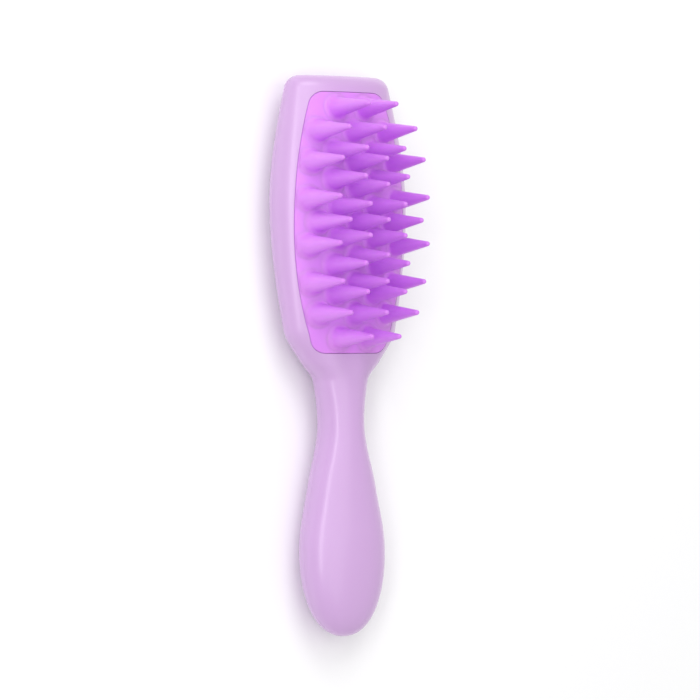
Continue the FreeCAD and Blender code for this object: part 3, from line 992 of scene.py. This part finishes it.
@dataclass
class ToothField:
    """The cone teeth that stand on the pad, each made by one geometry node tree."""

    pad: bpy.types.Object
    outline: PadOutline
    finish: Finish = SoftSilicone()
    length: float = 24.0 * MM
    root_radius: float = 4.2 * MM
    tip_radius: float = 1.0 * MM
    flare: float = 1.7 * MM
    embed: float = 0.6 * MM
    edge_margin: float = 0.15 * MM
    bend_end: float = 10.0 * MM
    foot_inset: float = 0.3 * MM
    least_radius: float = 0.01 * MM
    merge: float = 0.012 * MM
    ray_height: float = 200 * MM
    settle: float = 2.0
    sharp: float = 50.0
    rings: int = 42
    around: int = 40

    def _interface(self) -> bpy.types.NodeTree:
        """Return a new geometry tree with the tooth's named inputs."""
        tree = bpy.data.node_groups.new("silicone_tooth", "GeometryNodeTree")
        face = tree.interface
        face.new_socket("Geometry", in_out="OUTPUT", socket_type="NodeSocketGeometry")
        face.new_socket("Geometry", in_out="INPUT", socket_type="NodeSocketGeometry")
        for name in (
            "Length", "Root Radius", "Tip Radius", "Flare", "Embed", "Pad Centre X",
            "Pad Half Width", "Pad Side Radius",
        ):
            face.new_socket(name, in_out="INPUT", socket_type="NodeSocketFloat")
        for name in ("Rings", "Around"):
            face.new_socket(name, in_out="INPUT", socket_type="NodeSocketInt")
        face.new_socket("Seat", in_out="INPUT", socket_type="NodeSocketVector")
        face.new_socket("Pad", in_out="INPUT", socket_type="NodeSocketObject")
        face.new_socket("Material", in_out="INPUT", socket_type="NodeSocketMaterial")
        return tree

    def tree(self) -> bpy.types.NodeTree:
        """Return the tree: a lathed cone with a ball tip and a root that flares onto the pad."""
        tree = self._interface()
        graph = Graph(tree)
        given = graph.node("NodeGroupInput")
        length, root, tip, flare, embed, rings = (
            graph.wire(given, name)
            for name in ("Length", "Root Radius", "Tip Radius", "Flare", "Embed", "Rings")
        )
        line = graph.node(
            "GeometryNodeMeshLine", {"mode": "OFFSET"}, {"Count": rings, "Offset": (0, 0, MM)}
        )
        index = graph.wire(graph.node("GeometryNodeInputIndex"))
        first = index < 0.5
        turn = math.pi * ((index - 1) / (rings - 2)).most(0)
        height = length * 0.5 * (1 - turn.cosine())
        ball_centre = length - tip
        cone = root + (tip - root) * (height / ball_centre)
        depth_left = (flare - height).most(0)
        swell = flare - (flare * flare - depth_left * depth_left).most(0).root()
        above = (height - ball_centre).most(0)
        ball = (tip * tip - above * above).most(0).root()
        on_ball = ball_centre < height
        radius = (cone + swell) * (1 - on_ball) + ball * on_ball
        radius = (radius - first * self.foot_inset).most(self.least_radius)
        raised = height - first * embed
        # The height share feeds the silicone's painted light and shade up each tooth.
        share = height / length
        spot = graph.node("ShaderNodeCombineXYZ", None, {"Z": raised})
        shaped = graph.node(
            "GeometryNodeSetPosition", None,
            {"Geometry": line.outputs["Mesh"], "Position": spot.outputs[0]},
        )
        marked = graph.node(
            "GeometryNodeStoreNamedAttribute", {"data_type": "FLOAT", "domain": "POINT"},
            {"Geometry": shaped.outputs[0], "Name": HEIGHT_SHARE, "Value": share},
        )
        spine = graph.node("GeometryNodeMeshToCurve", None, {"Mesh": marked.outputs[0]})
        circle = graph.node(
            "GeometryNodeCurvePrimitiveCircle", None,
            {"Resolution": given.outputs["Around"], "Radius": 1.0},
        )
        lathed = graph.node(
            "GeometryNodeCurveToMesh", None,
            {
                "Curve": spine.outputs[0], "Profile Curve": circle.outputs[0],
                "Scale": radius, "Fill Caps": True,
            },
        )
        merged = graph.node(
            "GeometryNodeMergeByDistance", None,
            {"Geometry": lathed.outputs[0], "Distance": self.merge},
        )
        placed = graph.node(
            "GeometryNodeSetPosition", None,
            {"Geometry": merged.outputs[0], "Offset": given.outputs["Seat"]},
        )
        trimmed = self._within_pad(graph, given, placed)
        rooted = self._root_on_pad(graph, given, trimmed, flare)
        whole = graph.node("GeometryNodeRealizeInstances", None, {"Geometry": rooted})
        dressed = graph.node(
            "GeometryNodeSetMaterial", None,
            {"Geometry": whole.outputs[0], "Material": given.outputs["Material"]},
        )
        graph.node("NodeGroupOutput", None, {"Geometry": dressed.outputs[0]})
        return tree

    @staticmethod
    def _within_pad(
        graph: Graph, given: bpy.types.Node, placed: bpy.types.Node
    ) -> bpy.types.Node:
        """Draw the flared root in where it would pass the pad's curved side.

        Args:
            graph: The tree's graph.
            given: Its group input node.
            placed: The node whose geometry stands at the tooth's seat.

        Returns:
            The node whose geometry stays over the pad.
        """
        place = graph.node("GeometryNodeInputPosition")
        apart = graph.node("ShaderNodeSeparateXYZ", None, {0: place.outputs[0]})
        x, y, z = (graph.wire(apart, axis) for axis in "XYZ")
        middle, half, radius = (
            graph.wire(given, name)
            for name in ("Pad Centre X", "Pad Half Width", "Pad Side Radius")
        )
        off = x - middle
        limit = half - off * off / (2 * radius)
        spot = graph.node(
            "ShaderNodeCombineXYZ", None, {"X": x, "Y": y.least(limit).most(0 - limit), "Z": z}
        )
        return graph.node(
            "GeometryNodeSetPosition", None,
            {"Geometry": placed.outputs[0], "Position": spot.outputs[0]},
        )

    def _root_on_pad(
        self, graph: Graph, given: bpy.types.Node, placed: bpy.types.Node, flare: Wire
    ) -> bpy.types.NodeSocket:
        """Let the root follow the pad's curved surface, fading out up the tooth.

        Args:
            graph: The tree's graph.
            given: Its group input node.
            placed: The node whose geometry stands at the tooth's seat.
            flare: The height of the flare.

        Returns:
            The geometry with its root on the pad.
        """
        place = graph.node("GeometryNodeInputPosition")
        apart = graph.node("ShaderNodeSeparateXYZ", None, {0: place.outputs[0]})
        seat = graph.node("ShaderNodeSeparateXYZ", None, {0: given.outputs["Seat"]})
        over = graph.node(
            "ShaderNodeCombineXYZ", None,
            {"X": apart.outputs["X"], "Y": apart.outputs["Y"], "Z": self.ray_height},
        )
        pad = graph.node(
            "GeometryNodeObjectInfo", {"transform_space": "ORIGINAL"},
            {"Object": given.outputs["Pad"]},
        )
        ray = graph.node("GeometryNodeRaycast", {"data_type": "FLOAT"}, {
            "Target Geometry": pad.outputs["Geometry"], "Source Position": over.outputs[0],
            "Ray Direction": (0, 0, -1), "Ray Length": 2 * self.ray_height,
        })
        hit = graph.node("ShaderNodeSeparateXYZ", None, {0: ray.outputs["Hit Position"]})
        found = graph.wire(ray, "Is Hit")
        fall = (graph.wire(hit, "Z") - graph.wire(seat, "Z")) * found
        up = (graph.wire(apart, "Z") - graph.wire(seat, "Z")).most(0)
        share = (1 - up / (flare * self.settle)).most(0)
        eased = share * share * (3 - 2 * share)
        shift = graph.node("ShaderNodeCombineXYZ", None, {"Z": fall * eased})
        moved = graph.node(
            "GeometryNodeSetPosition", None,
            {"Geometry": placed.outputs[0], "Offset": shift.outputs[0]},
        )
        return moved.outputs[0]

    def _tooth(self, tree: bpy.types.NodeTree, node: str) -> bpy.types.Object:
        """Build one tooth as a plain mesh in the place of the frame's node.

        Args:
            tree: The tooth's geometry tree.
            node: The frame's node that the tooth replaces.

        Returns:
            The tooth.
        """
        low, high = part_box(node)
        seat = Vector(((low.x + high.x) / 2, (low.y + high.y) / 2, high.z - self.length))
        name = f"silicone_{node}"
        holder = in_scene(f"{name}_making", bpy.data.meshes.new(f"{name}_making"))
        modifier = holder.modifiers.new("tooth", "NODES")
        modifier.node_group = tree
        sizes = {
            "Length": self.length, "Root Radius": self.root_radius,
            "Tip Radius": self.tip_radius, "Flare": self.flare, "Embed": self.embed,
            "Rings": self.rings, "Around": self.around, "Seat": seat, "Pad": self.pad,
            "Pad Centre X": self.outline.centre_x,
            "Pad Half Width": self.outline.width / 2 - self.edge_margin,
            "Pad Side Radius": self.outline.side_radius,
            "Material": self.finish.material(),
        }
        for item in tree.interface.items_tree:
            if item.in_out == "INPUT" and item.name in sizes:
                modifier[item.identifier] = sizes[item.name]
        ready = holder.evaluated_get(bpy.context.evaluated_depsgraph_get())
        data = bpy.data.meshes.new_from_object(ready)
        bpy.data.objects.remove(holder)
        data.name = name
        skin = bmesh.new()
        skin.from_mesh(data)
        bmesh.ops.recalc_face_normals(skin, faces=skin.faces)
        skin.to_mesh(data)
        skin.free()
        data.shade_smooth()
        data.set_sharp_from_angle(angle=math.radians(self.sharp))
        made = in_scene(name, data)
        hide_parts(node)
        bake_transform(made)
        return made

    def build(self) -> list[bpy.types.Object]:
        """Build every tooth that the frame has."""
        tree = self.tree()
        nodes = sorted(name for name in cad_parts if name.startswith("tooth_"))
        return [self._tooth(tree, node) for node in nodes]


@dataclass
class HiddenCarrier:
    """The rigid carrier under the pad, kept as it is and given a moulded finish."""

    finish: Finish = CarrierPlastic()

    def build(self) -> bpy.types.Object:
        """Dress the carrier's own slots."""
        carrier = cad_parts["pad_carrier"]
        if not carrier.data.materials:
            carrier.data.materials.append(None)
        for slot in carrier.material_slots:
            slot.material = self.finish.material()
        return carrier


@dataclass(frozen=True)
class Softbox:
    """One large soft lamp, in metres and watts."""

    name: str
    place: Point
    aim: Point
    width: float
    height: float
    power: float
    colour: Colour = (1.0, 1.0, 1.0)

    def build(self) -> None:
        """Hang the lamp."""
        lamp = bpy.data.lights.new(self.name, "AREA")
        lamp.shape = "RECTANGLE"
        lamp.size, lamp.size_y = self.width, self.height
        lamp.energy = self.power
        lamp.color = self.colour
        holder = in_scene(self.name, lamp)
        holder.location = self.place
        way = Vector(self.aim) - Vector(self.place)
        holder.rotation_euler = way.to_track_quat("-Z", "Y").to_euler()


@dataclass
class Studio:
    """Floor, lamps, surrounding light and camera."""

    floor_half: float = 3.0
    paper: Finish = StudioPaper()
    lamps: tuple[Softbox, ...] = (
        Softbox("key_lamp", (0.85, 0.20, 0.85), (0.03, 0, 0.02), 0.6, 0.6, 3.6),
        Softbox("top_lamp", (0.10, 0.15, 1.80), (0, 0, 0), 2.0, 1.6, 7.6),
        Softbox("strip_lamp", (0.20, 0.88, 0.97), (0, 0, 0.01), 1.2, 0.26, 4.3),
    )
    sky: float = 0.62
    camera_place: Point = (-12.3 * MM, 762.38 * MM, 1194.55 * MM)
    camera_right: Point = (-0.01366, -0.83868, 0.54447)
    camera_up: Point = (0.99986, -0.00574, 0.01624)
    camera_back: Point = (-0.01049, 0.54461, 0.83862)
    lens: float = 179.75
    sensor: float = 36.0
    clip: tuple[float, float] = (0.05, 20.0)

    def build(self) -> None:
        """Set up the floor, the light and the camera."""
        reach = self.floor_half
        data = bpy.data.meshes.new("studio_floor")
        square = [(-reach, -reach, 0), (reach, -reach, 0), (reach, reach, 0), (-reach, reach, 0)]
        data.from_pydata(square, [], [(0, 1, 2, 3)])
        data.materials.append(self.paper.material())
        in_scene("studio_floor", data)
        for lamp in self.lamps:
            lamp.build()
        world = bpy.data.worlds.new("studio_light")
        world.use_nodes = True
        sky = next(n for n in world.node_tree.nodes if n.type == "BACKGROUND")
        sky.inputs["Color"].default_value = (1.0, 1.0, 1.0, 1.0)
        sky.inputs["Strength"].default_value = self.sky
        bpy.context.scene.world = world
        bpy.context.scene.view_settings.view_transform = "Standard"
        self._camera()

    def _camera(self) -> None:
        """Place the camera."""
        data = bpy.data.cameras.new("studio_camera")
        data.lens, data.sensor_width = self.lens, self.sensor
        data.clip_start, data.clip_end = self.clip
        camera = in_scene("studio_camera", data)
        axes = (self.camera_right, self.camera_up, self.camera_back)
        turn = Matrix(axes).transposed().to_4x4()
        camera.matrix_world = Matrix.Translation(self.camera_place) @ turn
        bpy.context.scene.camera = camera


def main() -> None:
    """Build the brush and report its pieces."""
    logging.basicConfig(level=logging.INFO, format="%(message)s")
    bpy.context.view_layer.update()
    low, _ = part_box("front_shell")
    form = BodyForm(grip_end=low.x, parting=low.z)
    pad_low, pad_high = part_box("bristle_pad")
    outline = PadOutline(centre_x=(pad_low.x + pad_high.x) / 2)
    Studio().build()
    pieces = BodyShells(form, outline).build()
    pad = SiliconePad(form, outline).build()
    pieces += [pad, HiddenCarrier().build()]
    pieces += ToothField(pad, outline).build()
    for piece in pieces:
        LOG.info("piece %s: %d faces", piece.name, len(piece.data.polygons))


if __name__ == "__main__":
    main()
